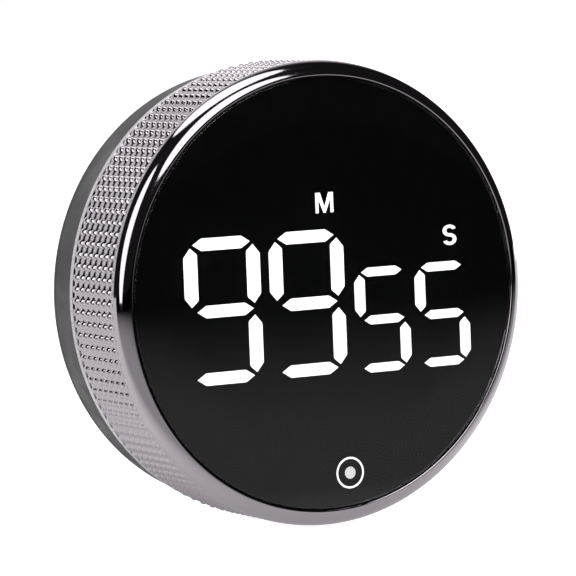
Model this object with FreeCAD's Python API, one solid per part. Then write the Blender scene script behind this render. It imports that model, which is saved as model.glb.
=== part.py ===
import FreeCAD, Part
import math
import os

# Round magnetic countdown timer with a knurled twist ring.
# Row frame, in millimetres: the origin is the centre of the back face, +Z is up, +X is to the
# right of someone who reads the display, and +Y is the way the back face looks. So the display
# faces -Y, and every station along the timer's axis is a y value from FRONT (lens) to 0 (back).

# Driving dimensions.
THICKNESS = 29.0
FRONT = -THICKNESS
RING_RADIUS = 39.0
SKIN = 1.5                       # wall of the metal ring
LIP_RADIUS = 36.46               # inner edge of the polished front lip
LIP_WIDTH = 2.05                 # how far back the lip's curve runs
LIP_CROWN = (38.12, 0.78)        # radius and depth of the middle of the lip's curve
RING_LENGTH = 18.95
RING_REAR = FRONT + RING_LENGTH

LENS_RADIUS = 36.1
LENS_THICKNESS = 1.0
FILM = 0.15
DIFFUSER = 0.25
MASK_RADIUS = 35.9
SHEET_RADIUS = 35.6
FILM_FRONT = FRONT + LENS_THICKNESS
FILM_BACK = FILM_FRONT + FILM
SHEET_BACK = FILM_BACK + DIFFUSER
CARRIER_BACK = SHEET_BACK + 0.8

GEAR_MODULE = 0.6
RING_TEETH = 112
PINION_TEETH = 16
PRESSURE_ANGLE = math.radians(20)
GEAR_BACKLASH = 0.12             # taken half from each member, along the pitch circle
GEAR_CENTRES = GEAR_MODULE * (RING_TEETH - PINION_TEETH) / 2
RING_TIP = 33.15
RING_ROOT = 34.35
PINION_TIP = 5.4
PINION_ROOT = 4.05
GEAR_FRONT = -17.5
GEAR_BACK = -13.5
SHAFT_RADIUS = 1.5               # of the encoder's gear
SHAFT_BORE = 1.55

LAND_RADIUS = 35.0               # journal on the housing that the ring turns on
LAND_CLEARANCE = 0.06
WALL_OUTER = 32.7                # the housing's forward wall
WALL_INNER = 31.2
WALL_FRONT = -24.2
SHOULDER = -10.0
BASE_RADIUS = 38.3
BASE_REAR_RADIUS = 37.4
BACK_RADIUS = 35.2
PLATE = 1.8                      # thickness of the back plate and of the battery door

CELL_RADIUS = 5.25               # AAA cells
CELL_LENGTH = 44.5
CELL_PITCH = 10.9
CELL_Y = -7.4
BAY_HALF_X = 16.6
BAY_HALF_Z = 25.5
BAY_FLOOR = -13.2
BAY_WALL = 1.2
DOOR_HALF_X = 18.0
DOOR_HALF_Z = 27.0
DOOR_GAP = 0.2

BOARD_RADIUS = 30.9
BOARD_FRONT = -23.0
BOARD_BACK = -21.8
FRAME_FRONT = -26.2
FLANGE_BACK = -25.2
FRAME_RADIUS = 36.2
FRAME_INNER = 32.2
CHIP_FRONT = BOARD_FRONT - 0.6   # top of the light chips on the board
REFLECTOR_FRONT = -27.1
REFLECTOR_CUT = (-28.0, -22.0)   # light wells run right through the reflector

POST_X = 20.6                    # case screws
POST_Z = 20.2
TAB_X = 13.5                     # board screws
TAB_Z = 23.4
MAGNET_X = 26.5
MAGNET_Z = 7.5
MAGNET_RADIUS = 5.0
SLIDER_Z = -30.9
SLIDER_TRAVEL = 2.0              # each way
SLIDER_LENGTH = 3.6
BUTTON_X = 3.45
BUTTON_Z = -30.45
SWITCH_Z = -26.0
PLUNGER_RADIUS = 1.5
HINGE_Y = -25.95
HINGE_Z = 34.0
HINGE_PIN = 0.5
HINGE_BORE = 0.52
HINGE_LUG_X = 3.0
DOOR_AXIS_Y = -0.9               # the door's round top edge and its pins
DOOR_PIN = 0.6
DOOR_PIN_BORE = 0.67

# Display layout: one entry per digit, with the lit segments a to g.
MINUTE_DIGIT = {"half_width": 5.87, "half_height": 11.12, "bar": 2.08, "post": 2.58, "gap": 0.48}
SECOND_DIGIT = {"half_width": 4.33, "half_height": 8.1, "bar": 1.52, "post": 2.07, "gap": 0.36}
SHOULDER_ROUND = 0.6             # rounding of a segment's shoulders
DIGITS = [
    {"node": "minute_tens_segments", "x": -19.4, "z": -1.4, "style": MINUTE_DIGIT, "lit": "abcdfg"},
    {"node": "minute_units_segments", "x": -3.42, "z": -1.4, "style": MINUTE_DIGIT, "lit": "abcdfg"},
    {"node": "second_tens_segments", "x": 10.95, "z": -5.1, "style": SECOND_DIGIT, "lit": "acdfg"},
    {"node": "second_units_segments", "x": 22.75, "z": -5.1, "style": SECOND_DIGIT, "lit": "acdfg"},
]
MINUTE_MARK = {"x": 0.42, "z": 15.2, "half_width": 1.72, "half_height": 1.7, "stroke": 0.6}
SECOND_MARK = {"x": 24.65, "z": 8.2, "height": 3.48, "stroke": 0.55, "widening": 1.34}
ICON_RADIUS = 2.66
ICON_LINE = 0.33
ICON_DOT = 1.02


def vec(x, y, z):
    return FreeCAD.Vector(x, y, z)


AXIS = vec(0, 1, 0)


def cylinder(radius, y_front, y_back, x=0.0, z=0.0):
    return Part.makeCylinder(radius, y_back - y_front, vec(x, y_front, z), AXIS)


def tube(outer, inner, y_front, y_back, x=0.0, z=0.0):
    return cylinder(outer, y_front, y_back, x, z).cut(cylinder(inner, y_front - 1, y_back + 1, x, z))


def block(x0, x1, y0, y1, z0, z1):
    return Part.makeBox(x1 - x0, y1 - y0, z1 - z0, vec(x0, y0, z0))


def centred_block(x, z, width, height, y0, y1):
    return block(x - width / 2, x + width / 2, y0, y1, z - height / 2, z + height / 2)


def rod_along_x(radius, x0, x1, y, z):
    return Part.makeCylinder(radius, x1 - x0, vec(x0, y, z), vec(1, 0, 0))


def lathe_edges(edges):
    """A solid of revolution about the timer's axis from edges in the (radius, y) half plane."""
    return Part.Face(Part.Wire(edges)).revolve(vec(0, 0, 0), AXIS, 360)


def lathe(points):
    corners = [vec(radius, y, 0) for radius, y in points]
    return lathe_edges(Part.makePolygon(corners + corners[:1]).Edges)


def prism(outline, y_front, y_back):
    """An outline of (x, z) points, carried along the axis."""
    corners = [vec(x, y_front, z) for x, z in outline]
    face = Part.Face(Part.makePolygon(corners + corners[:1]))
    return face.extrude(vec(0, y_back - y_front, 0))


def fuse(solids):
    return solids[0].multiFuse(solids[1:]).removeSplitter()


def round_axial_edges(solid, radius, keep):
    """Fillet the edges that run along the axis, at the (x, z) places that keep() accepts."""
    chosen = []
    for edge in solid.Edges:
        first = edge.Vertexes[0].Point
        last = edge.Vertexes[-1].Point
        along = abs(first.x - last.x) < 1e-6 and abs(first.z - last.z) < 1e-6
        if along and keep(first.x, first.z):
            chosen.append(edge)
    return solid.makeFillet(radius, chosen)


def save(node, shape):
    if isinstance(shape, list):
        shape = Part.makeCompound(shape)
    bad = [index for index, solid in enumerate(shape.Solids) if not solid.isValid()]
    print(f"{node:24s} solids {len(shape.Solids):3d}  volume {shape.Volume:10.2f}  invalid {bad}")
    shape.exportStep(f"parts/{node}.step")


# Twist ring.

def knob_shell():
    """Drawn metal ring: a crowned polished lip in front, a straight knurled band behind it."""
    lip_front = vec(LIP_RADIUS + 0.25, FRONT, 0)
    lip_middle = vec(LIP_CROWN[0], FRONT + LIP_CROWN[1], 0)
    lip_back = vec(RING_RADIUS, FRONT + LIP_WIDTH, 0)
    inner = RING_RADIUS - SKIN
    corners = [
        lip_back,
        vec(RING_RADIUS, RING_REAR - 0.25, 0),
        vec(RING_RADIUS - 0.25, RING_REAR, 0),
        vec(inner, RING_REAR, 0),
        vec(inner, FRONT + LIP_WIDTH, 0),
        vec(LIP_RADIUS, FRONT + 1.5, 0),
        vec(LIP_RADIUS, FRONT + 0.2, 0),
        lip_front,
    ]
    edges = [Part.Arc(lip_front, lip_middle, lip_back).toShape()]
    edges += Part.makePolygon(corners).Edges
    return lathe_edges(edges)


def involute(angle):
    return math.tan(angle) - angle


def half_angle(radius, teeth, backlash):
    """Half the angle of an external gear's tooth at a radius, eased by half the backlash."""
    pitch_radius = GEAR_MODULE * teeth / 2
    base_radius = pitch_radius * math.cos(PRESSURE_ANGLE)
    local = math.acos(min(1.0, base_radius / radius))
    tooth = math.pi / (2 * teeth) + involute(PRESSURE_ANGLE) - involute(local)
    return tooth - backlash / 4 / pitch_radius


def toothed_outline(teeth, radii, backlash, x=0.0):
    """Straight-edged involute teeth. radii run up one flank, and the other flank mirrors it."""
    outline = []
    for tooth in range(teeth):
        middle = 2 * math.pi * tooth / teeth
        flank = [(radius, half_angle(radius, teeth, backlash)) for radius in radii]
        rising = [(radius, middle - half) for radius, half in flank]
        falling = [(radius, middle + half) for radius, half in reversed(flank)]
        for radius, angle in rising + falling:
            outline.append((x + radius * math.cos(angle), radius * math.sin(angle)))
    return outline


def gear_ring():
    """Plastic ring inside the metal skin: retaining flange, internal gear and journal bore."""
    outer = RING_RADIUS - SKIN - 0.05
    relief = 36.0
    bore = LAND_RADIUS + LAND_CLEARANCE
    rear = SHOULDER - 0.55
    body = lathe([
        (36.6, FRAME_FRONT - 0.3), (outer, FRAME_FRONT - 0.3), (outer, rear), (bore, rear),
        (bore, GEAR_BACK), (31.0, GEAR_BACK), (31.0, GEAR_FRONT), (relief, GEAR_FRONT),
        (relief, -23.6), (35.3, -23.6), (35.3, -25.0), (36.6, -25.0),
    ])
    radii = (RING_TIP, (RING_TIP + RING_ROOT) / 2, RING_ROOT)
    # An internal gear's spaces have the outline of an external gear's teeth, made wider.
    spaces = toothed_outline(RING_TEETH, radii, -GEAR_BACKLASH)
    return body.cut(prism(spaces, GEAR_FRONT - 0.5, GEAR_BACK + 0.5))


def encoder_pinion():
    base_radius = GEAR_MODULE * PINION_TEETH / 2 * math.cos(PRESSURE_ANGLE)
    radii = (PINION_ROOT, base_radius, 4.95, PINION_TIP)
    outline = toothed_outline(PINION_TEETH, radii, GEAR_BACKLASH, GEAR_CENTRES)
    gear = prism(outline, GEAR_FRONT + 0.2, GEAR_BACK - 0.2)
    hub = cylinder(2.3, GEAR_FRONT - 0.2, GEAR_BACK + 0.4, GEAR_CENTRES)
    shaft = cylinder(SHAFT_RADIUS, -20.9, -9.5, GEAR_CENTRES)
    return fuse([gear, hub, shaft])


# Display.

def segment_outlines(digit):
    """The seven hexagons of a digit, each keyed by its letter."""
    style = digit["style"]
    left = digit["x"] - style["half_width"]
    right = digit["x"] + style["half_width"]
    top = digit["z"] + style["half_height"]
    bottom = digit["z"] - style["half_height"]
    middle = digit["z"]
    gap = style["gap"]

    def bar(z, x0, x1):
        half = style["bar"] / 2
        run = 0.8 * style["bar"]
        return [(x0, z), (x0 + run, z + half), (x1 - run, z + half),
                (x1, z), (x1 - run, z - half), (x0 + run, z - half)]

    def post(x, z0, z1, outward):
        half = style["post"] / 2
        inner_run = 0.42 * style["post"]
        outer_run = 0.6 * style["post"]
        return [(x, z0), (x + outward * half, z0 + outer_run), (x + outward * half, z1 - outer_run),
                (x, z1), (x - outward * half, z1 - inner_run), (x - outward * half, z0 + inner_run)]

    return {
        "a": bar(top, left + gap, right - gap),
        "g": bar(middle, left + 2 * gap, right - 0.4 * gap),
        "d": bar(bottom, left + gap, right - gap),
        "f": post(left, middle + 1.8 * gap, top - gap, -1),
        "e": post(left, bottom + gap, middle - 1.8 * gap, -1),
        "b": post(right, middle + 1.8 * gap, top - gap, 1),
        "c": post(right, bottom + gap, middle - 2.2 * gap, 1),
    }


def segment_solid(outline, y_front, y_back):
    tips = (outline[0], outline[3])

    def is_shoulder(x, z):
        return all(math.hypot(x - tip_x, z - tip_z) > 1e-3 for tip_x, tip_z in tips)

    return round_axial_edges(prism(outline, y_front, y_back), SHOULDER_ROUND, is_shoulder)


def minute_mark(y_front, y_back):
    """The unit letter of the minutes: two uprights and a V whose foot is blunt."""
    half = MINUTE_MARK["half_width"]
    rise = MINUTE_MARK["half_height"]
    stroke = MINUTE_MARK["stroke"]
    arm_top = half - 1.55 * stroke
    fork = -0.4 * rise
    armpit = 0.3 * rise
    foot = 0.35 * stroke
    right = [(0, fork), (arm_top, rise), (half, rise), (half, -rise), (half - stroke, -rise),
             (half - stroke, armpit), (foot, -rise)]
    left = [(-x, z) for x, z in reversed(right[1:])]
    placed = [(MINUTE_MARK["x"] + x, MINUTE_MARK["z"] + z) for x, z in right + left]
    return prism(placed, y_front, y_back)


def second_mark(y_front, y_back):
    """The unit letter of the seconds: two bowls of one stroke width, drawn out sideways."""
    stroke = SECOND_MARK["stroke"]
    bowl = (SECOND_MARK["height"] - stroke) / 4
    depth = y_back - y_front
    # A cylinder made along +Y starts its sweep at +Z and runs towards +X.
    upper = Part.makeCylinder(bowl + stroke / 2, depth, vec(0, y_front, bowl), AXIS, 250)
    upper = upper.cut(cylinder(bowl - stroke / 2, y_front - 1, y_back + 1, 0, bowl))
    upper.rotate(vec(0, y_front, bowl), AXIS, 180)
    lower = upper.copy()
    lower.rotate(vec(0, 0, 0), AXIS, 180)
    mark = fuse([upper, lower])
    stretch = FreeCAD.Matrix()
    stretch.scale(SECOND_MARK["widening"], 1.0, 1.0)
    mark = mark.transformGeometry(stretch)
    mark.translate(vec(SECOND_MARK["x"], 0, SECOND_MARK["z"]))
    return mark


def button_icon(y_front, y_back):
    ring = tube(ICON_RADIUS, ICON_RADIUS - ICON_LINE, y_front, y_back, BUTTON_X, BUTTON_Z)
    dot = cylinder(ICON_DOT, y_front, y_back, BUTTON_X, BUTTON_Z)
    return [ring, dot]


def front_lens():
    edge = 0.35
    return lathe([(0, FRONT), (LENS_RADIUS - edge, FRONT), (LENS_RADIUS, FRONT + edge),
                  (LENS_RADIUS, FILM_FRONT), (0, FILM_FRONT)])


def lens_carrier():
    """Ring bonded behind the lens, with two hinge lugs on top and the button's pusher below."""
    ring = tube(36.0, 33.0, SHEET_BACK, CARRIER_BACK)
    parts = [ring]
    for side in (-1, 1):
        parts.append(centred_block(side * HINGE_LUG_X, HINGE_Z, 3.0, 2.2, SHEET_BACK, -25.3))
    parts.append(block(BUTTON_X - 2.5, BUTTON_X + 2.5, SHEET_BACK, SHEET_BACK + 0.7, -33.6, -24.0))
    parts.append(cylinder(1.4, SHEET_BACK, -26.4, BUTTON_X, SWITCH_Z))
    return fuse(parts).cut(rod_along_x(HINGE_BORE, -8, 8, HINGE_Y, HINGE_Z))


def arm(radius0, radius1, width, y0, y1, degrees):
    solid = block(radius0, radius1, y0, y1, -width / 2, width / 2)
    solid.rotate(vec(0, 0, 0), AXIS, -degrees)
    return solid


def corners_of(x, z):
    return [(side * x, level * z) for side in (-1, 1) for level in (-1, 1)]


def display_frame():
    """Frame that traps the twist ring and carries the board, the lens hinge and the screw posts."""
    parts = [
        tube(FRAME_RADIUS, FRAME_INNER, FRAME_FRONT, FLANGE_BACK),
        tube(33.0, FRAME_INNER, FRAME_FRONT, WALL_FRONT - 0.02),
        block(-7, 7, -26.7, FLANGE_BACK, 32.7, 35.4),
    ]
    for x, z in corners_of(POST_X, POST_Z):
        turn = math.degrees(math.atan2(z, x))
        parts.append(arm(math.hypot(x, z), FRAME_INNER + 0.4, 3.6, FRAME_FRONT, -24.6, turn))
        parts.append(cylinder(2.2, FRAME_FRONT, -5.25, x, z))
    for x, z in corners_of(TAB_X, TAB_Z):
        turn = math.degrees(math.atan2(z, x))
        parts.append(arm(math.hypot(x, z), FRAME_INNER + 0.4, 3.2, FRAME_FRONT, -24.6, turn))
        parts.append(cylinder(2.0, FRAME_FRONT, BOARD_FRONT, x, z))
    frame = fuse(parts)
    for side in (-1, 1):
        frame = frame.cut(centred_block(side * HINGE_LUG_X, HINGE_Z, 3.6, 4.0, -27, -25))
    frame = frame.cut(rod_along_x(HINGE_BORE, -6.6, 6.6, HINGE_Y, HINGE_Z))
    for x, z in corners_of(POST_X, POST_Z):
        frame = frame.cut(cylinder(1.0, -17, 0, x, z))
    for x, z in corners_of(TAB_X, TAB_Z):
        frame = frame.cut(cylinder(0.85, -25.6, -20, x, z))
    return frame


def led_reflector(pockets):
    block_body = block(-28.6, 29.3, REFLECTOR_FRONT, BOARD_FRONT, -15.2, 17.4)
    body = block_body.common(cylinder(31.0, -28, -20))
    for pocket in pockets:
        body = body.cut(pocket)
    return body


# Electronics.

def main_board():
    board = cylinder(BOARD_RADIUS, BOARD_FRONT, BOARD_BACK)
    board = board.fuse(block(26, 33.4, BOARD_FRONT, BOARD_BACK, -5.0, 5.0)).removeSplitter()
    for x, z in corners_of(POST_X, POST_Z):
        board = board.cut(cylinder(2.5, -24, -20, x, z))
    for x, z in corners_of(TAB_X, TAB_Z):
        board = board.cut(cylinder(0.95, -24, -20, x, z))
    return board


def screw(x, z, head_radius, shank_radius, under_head, head_back, tip):
    """A cross-recessed screw whose head faces the back."""
    solid = fuse([
        cylinder(head_radius, under_head, head_back, x, z),
        cylinder(shank_radius, tip, under_head, x, z),
    ])
    for width, height in ((1.1 * head_radius, 0.35), (0.35, 1.1 * head_radius)):
        solid = solid.cut(centred_block(x, z, width, height, head_back - 0.5, head_back + 1))
    return solid


def tact_switch():
    body = centred_block(BUTTON_X, SWITCH_Z, 4.5, 4.5, -24.6, BOARD_FRONT)
    return body.cut(cylinder(PLUNGER_RADIUS + 0.1, -26, -23.2, BUTTON_X, SWITCH_Z))


def encoder_body():
    body = centred_block(GEAR_CENTRES, 0, 8.8, 8.8, BOARD_BACK, -18.0)
    return body.cut(cylinder(SHAFT_BORE, -21.3, -17, GEAR_CENTRES))


def buzzer():
    body = cylinder(6.0, BOARD_BACK, -16.3, -24.5, 0)
    return body.cut(cylinder(0.9, -17.8, -15, -24.5, 0))


def can(x, z, half_length, radius, y_front, height):
    """A flat-sided can with round ends, such as a crystal's."""
    parts = [centred_block(x, z, 2 * half_length, 2 * radius, y_front, y_front + height)]
    for side in (-1, 1):
        parts.append(cylinder(radius, y_front, y_front + height, x + side * half_length, z))
    return fuse(parts)


# Housing.

def base_housing():
    """Black cup: outer wall, shoulder, journal, forward wall, back plate and battery bay."""
    corner = vec(36.72, -0.62, 0)
    outer_top = vec(BASE_RADIUS, SHOULDER, 0)
    outer_low = vec(BASE_REAR_RADIUS, -2.55, 0)
    back_edge = vec(BACK_RADIUS, 0, 0)
    rest = [
        back_edge, vec(0, 0, 0), vec(0, -PLATE, 0), vec(34.6, -PLATE, 0), vec(35.7, -2.9, 0),
        vec(36.3, -8.5, 0), vec(WALL_INNER, -8.5, 0), vec(WALL_INNER, WALL_FRONT, 0),
        vec(WALL_OUTER, WALL_FRONT, 0), vec(WALL_OUTER, -13.0, 0), vec(LAND_RADIUS, -13.0, 0),
        vec(LAND_RADIUS, SHOULDER, 0), outer_top,
    ]
    edges = [Part.LineSegment(outer_top, outer_low).toShape()]
    edges.append(Part.Arc(outer_low, corner, back_edge).toShape())
    edges += Part.makePolygon(rest).Edges
    parts = [lathe_edges(edges)]
    bay_x = BAY_HALF_X + BAY_WALL
    bay_z = BAY_HALF_Z + BAY_WALL
    parts.append(centred_block(0, 0, 2 * bay_x, 2 * bay_z, BAY_FLOOR - BAY_WALL, -PLATE))
    parts.append(centred_block(0, 0, 39.2, 57.2, -3.4, -PLATE))
    for x, z in corners_of(POST_X, POST_Z):
        parts.append(cylinder(2.6, -5.2, -PLATE, x, z))
    for x, z in corners_of(MAGNET_X, MAGNET_Z):
        parts.append(cylinder(MAGNET_RADIUS + 1.3, -3.9, -PLATE, x, z))
    parts.append(cylinder(2.6, -12.5, -PLATE, GEAR_CENTRES, 0))
    for side in (-1, 1):
        parts.append(centred_block(side * 5.9, SLIDER_Z, 0.8, 5.4, -6.7, -PLATE))
    housing = fuse(parts)
    cuts = [
        centred_block(0, 0, 2 * BAY_HALF_X, 2 * BAY_HALF_Z, BAY_FLOOR, 1),
        centred_block(0, 0, 2 * (DOOR_HALF_X + DOOR_GAP), 2 * (DOOR_HALF_Z + DOOR_GAP), -1.9, 1),
        rod_along_x(DOOR_PIN_BORE, -19.5, 19.5, DOOR_AXIS_Y, DOOR_HALF_Z + DOOR_AXIS_Y),
        block(26, 34, WALL_FRONT - 1, -13.0, -6.3, 6.3),
        cylinder(SHAFT_BORE, -13.5, -9.0, GEAR_CENTRES),
        centred_block(0, SLIDER_Z, SLIDER_LENGTH + 2 * SLIDER_TRAVEL + 0.6, 3.0, -3.2, 1),
        centred_block(0, -DOOR_HALF_Z - 0.8, 9.0, 1.5, -1.2, 1),
        centred_block(-CELL_PITCH, BAY_HALF_Z - 0.4, 4.0, 0.9, -15, -13),
        centred_block(CELL_PITCH, -BAY_HALF_Z + 0.4, 4.0, 0.9, -15, -13),
    ]
    for x, z in corners_of(POST_X, POST_Z):
        cuts.append(cylinder(1.1, -6, 1, x, z))
        cuts.append(cylinder(2.15, -1.6, 1, x, z))
    for x, z in corners_of(MAGNET_X, MAGNET_Z):
        cuts.append(cylinder(MAGNET_RADIUS + 0.1, -2.75, 1, x, z))
    for step in range(-2, 3):
        cuts.append(cylinder(0.6, -3, 1, 3.0 * step, 31.2))
    for cut in cuts:
        housing = housing.cut(cut)
    return housing


def battery_door():
    """Flush cover: round hinge edge and pins on top, a sprung tongue cut into its lower edge."""
    axis_z = DOOR_HALF_Z + DOOR_AXIS_Y
    parts = [
        block(-DOOR_HALF_X, DOOR_HALF_X, -PLATE, 0, -DOOR_HALF_Z, axis_z),
        rod_along_x(-DOOR_AXIS_Y, -DOOR_HALF_X, DOOR_HALF_X, DOOR_AXIS_Y, axis_z),
        rod_along_x(DOOR_PIN, -19.3, 19.3, DOOR_AXIS_Y, axis_z),
        centred_block(0, -DOOR_HALF_Z - 0.05, 6.0, 0.2, -1.4, -0.8),
    ]
    door = fuse(parts)
    for side in (-1, 1):
        door = door.cut(centred_block(side * 4.6, -DOOR_HALF_Z + 3.4, 0.7, 6.9, -3, 1))
    for row in range(5):
        door = door.cut(centred_block(0, -21.5 + 1.5 * row, 12.0, 0.6, -0.4, 1))
    return door


def battery_cell(x, upward):
    """An AAA cell standing along Z, its button towards upward (+1 or -1)."""
    body_length = CELL_LENGTH - 1.0
    start = -CELL_LENGTH / 2
    solid = fuse([
        Part.makeCylinder(CELL_RADIUS, body_length, vec(x, CELL_Y, start), vec(0, 0, 1)),
        Part.makeCylinder(1.9, 1.0, vec(x, CELL_Y, start + body_length), vec(0, 0, 1)),
    ])
    if upward < 0:
        solid.rotate(vec(x, CELL_Y, 0), vec(1, 0, 0), 180)
    return solid


def battery_spring(x, upward):
    """A coil spring at the flat end of a cell: a swept helix of two open turns."""
    wire = 0.25
    turns = 2
    free_space = BAY_HALF_Z - 0.7 - CELL_LENGTH / 2
    height = free_space - 2 * wire - 0.1
    helix = Part.makeHelix(height / turns, height, 2.6)
    profile = Part.Wire(Part.makeCircle(wire, vec(2.6, 0, 0), vec(0, 1, 0)))
    coil = Part.Wire(helix).makePipeShell([profile], True, True)
    coil.translate(vec(x, CELL_Y, CELL_LENGTH / 2 + wire + 0.05))
    if upward < 0:
        coil.rotate(vec(x, CELL_Y, 0), vec(1, 0, 0), 180)
    return coil


def contact_plates():
    plates = []
    for level, single_x, double_x in ((1, -CELL_PITCH, CELL_PITCH / 2), (-1, CELL_PITCH, -CELL_PITCH / 2)):
        z = level * (BAY_HALF_Z - 0.4)
        terminal = centred_block(single_x, z, 8.6, 0.4, -11.5, -3.5)
        tab = centred_block(single_x, z, 3.0, 0.4, -15.4, -11.5)
        plates.append(fuse([terminal, tab]))
        plates.append(centred_block(double_x, z, 19.4, 0.4, -11.5, -3.5))
    return plates


def slide_switch():
    body = centred_block(0, SLIDER_Z, 8.6, 3.8, -6.7, -3.4)
    return body.cut(centred_block(0, SLIDER_Z, 6.2, 1.8, -6.0, -3))


def volume_slider():
    parts = [
        centred_block(0, SLIDER_Z, SLIDER_LENGTH, 2.6, -1.95, -0.3),
        centred_block(0, SLIDER_Z, 6.0, 4.0, -2.7, -1.95),
        centred_block(0, SLIDER_Z, 1.6, 1.4, -5.6, -2.7),
    ]
    slider = fuse(parts)
    for step in (-1, 0, 1):
        slider = slider.cut(centred_block(step * 1.1, SLIDER_Z, 0.4, 3.0, -0.6, 0))
    return slider


def lead(points, radius):
    """A tube along straight runs joined by tangent arcs, as large as the runs allow."""
    stations = [vec(*point) for point in points]
    edges = []
    here = stations[0]
    for index in range(1, len(stations) - 1):
        before = stations[index] - stations[index - 1]
        after = stations[index + 1] - stations[index]
        turn = before.getAngle(after)
        setback = 0.45 * min(before.Length, after.Length)
        bend = setback / math.tan(turn / 2)
        enter = stations[index] - before.normalize() * setback
        leave = stations[index] + after.normalize() * setback
        inward = (after - before).normalize()
        centre_distance = bend / math.cos(turn / 2)
        middle = stations[index] + inward * (centre_distance - bend)
        edges.append(Part.LineSegment(here, enter).toShape())
        edges.append(Part.Arc(enter, middle, leave).toShape())
        here = leave
        print(f"    bend {bend:.2f} mm at point {index}")
    edges.append(Part.LineSegment(here, stations[-1]).toShape())
    route = Part.Wire(edges)
    start_direction = stations[1] - stations[0]
    section = Part.Wire(Part.makeCircle(radius, stations[0], start_direction))
    solid = route.makePipeShell([section], True, True)
    swept = math.pi * radius ** 2 * route.Length
    print(f"    tube volume {solid.Volume:.3f} of {swept:.3f} mm3")
    return solid


POSITIVE_ROUTE = [(-10.9, -15.6, 24.4), (-9.6, -17.0, 23.2), (-7.4, -17.8, 22.5), (-5.0, -18.5, 22.9),
                  (-3.6, -19.9, 23.4), (-3.6, -21.8, 23.4)]
NEGATIVE_ROUTE = [(10.9, -15.6, -24.4), (9.4, -16.9, -23.2), (7.2, -17.6, -22.3), (4.8, -18.4, -22.6),
                  (3.2, -19.8, -23.2), (3.2, -21.8, -23.2)]


def switch_leads():
    leads = []
    for x in (-1.3, 0.0, 1.3):
        leads.append(lead([(x, -7.5, -29.6), (x, -10.4, -29.6), (x, -13.2, -28.9), (x, -16.2, -28.5),
                           (x, -19.0, -29.2), (x, -21.8, -29.2)], 0.4))
    return leads


# Make every piece.

def main():
    os.makedirs("parts", exist_ok=True)
    save("knob_shell", knob_shell())
    save("gear_ring", gear_ring())
    save("glide_ring", tube(37.0, 35.3, SHOULDER - 0.5, SHOULDER))

    windows = []
    pockets = []
    chips = []
    unlit = []
    for digit in DIGITS:
        lit = []
        for letter, outline in segment_outlines(digit).items():
            window = segment_solid(outline, FILM_FRONT, FILM_BACK)
            windows.append(window)
            pockets.append(segment_solid(outline, *REFLECTOR_CUT))
            centre = window.BoundBox.Center
            upright = letter in "bcef"
            width, height = (0.8, 1.6) if upright else (1.6, 0.8)
            chips.append(centred_block(centre.x, centre.z, width, height, CHIP_FRONT, BOARD_FRONT))
            (lit if letter in digit["lit"] else unlit).append(window)
        save(digit["node"], lit)
    save("unlit_segments", unlit)

    marks = [minute_mark(FILM_FRONT, FILM_BACK), second_mark(FILM_FRONT, FILM_BACK)]
    save("unit_marks", marks)
    icon = button_icon(FILM_FRONT, FILM_BACK)
    save("button_icon", icon)
    mask = cylinder(MASK_RADIUS, FILM_FRONT, FILM_BACK)
    for window in windows + marks + icon:
        mask = mask.cut(window)
    save("lens_mask", mask)
    save("front_lens", front_lens())
    save("diffuser_sheet", cylinder(SHEET_RADIUS, FILM_BACK, SHEET_BACK))
    save("lens_carrier", lens_carrier())
    save("lens_hinge_pin", rod_along_x(HINGE_PIN, -6.4, 6.4, HINGE_Y, HINGE_Z))

    for mark in (MINUTE_MARK, SECOND_MARK):
        pockets.append(centred_block(mark["x"], mark["z"], 3.7, 3.6, *REFLECTOR_CUT))
        chips.append(centred_block(mark["x"], mark["z"], 1.6, 0.8, CHIP_FRONT, BOARD_FRONT))
    chips.append(centred_block(BUTTON_X, -29.6, 1.6, 0.8, CHIP_FRONT, BOARD_FRONT))
    save("led_reflector", led_reflector(pockets))
    save("segment_leds", chips)

    save("display_frame", display_frame())
    save("main_board", main_board())
    save("controller_chip", centred_block(-6.0, 2.0, 10.4, 7.6, BOARD_BACK, -19.6))
    save("crystal_can", can(-6.0, -10.0, 3.0, 1.7, BOARD_BACK, 2.6))
    save("power_capacitor", cylinder(2.5, BOARD_BACK, -15.8, 12.0, 12.0))
    save("driver_transistors", [centred_block(6.0 + 4.0 * index, -9.0, 2.9, 1.4, BOARD_BACK, -20.8)
                                for index in range(4)])
    save("buzzer", buzzer())
    save("tact_switch", tact_switch())
    save("tact_plunger", cylinder(PLUNGER_RADIUS, FRAME_FRONT, -23.7, BUTTON_X, SWITCH_Z))
    save("encoder_body", encoder_body())
    save("encoder_pinion", encoder_pinion())
    save("board_screws", [screw(x, z, 1.6, 0.8, BOARD_BACK, -20.7, -25.4)
                          for x, z in corners_of(TAB_X, TAB_Z)])

    save("base_housing", base_housing())
    save("case_screws", [screw(x, z, 2.0, 0.95, -1.6, -0.35, -16.0)
                         for x, z in corners_of(POST_X, POST_Z)])
    save("back_magnets", [cylinder(MAGNET_RADIUS, -2.7, -0.15, x, z)
                          for x, z in corners_of(MAGNET_X, MAGNET_Z)])
    save("battery_door", battery_door())
    for index, upward in enumerate((1, -1, 1)):
        save(f"battery_cell_{index + 1}", battery_cell((index - 1) * CELL_PITCH, upward))
    save("battery_springs", [battery_spring((index - 1) * CELL_PITCH, -upward)
                             for index, upward in enumerate((1, -1, 1))])
    save("contact_plates", contact_plates())
    save("switch_board", centred_block(0, -30.7, 13.0, 6.6, -7.5, -6.7))
    save("slide_switch", slide_switch())
    save("volume_slider", volume_slider())
    save("positive_lead", lead(POSITIVE_ROUTE, 0.5))
    save("negative_lead", lead(NEGATIVE_ROUTE, 0.5))
    save("switch_leads", switch_leads())


main()
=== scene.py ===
import math

import bpy
import numpy as np
from mathutils import Matrix, Vector


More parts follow.
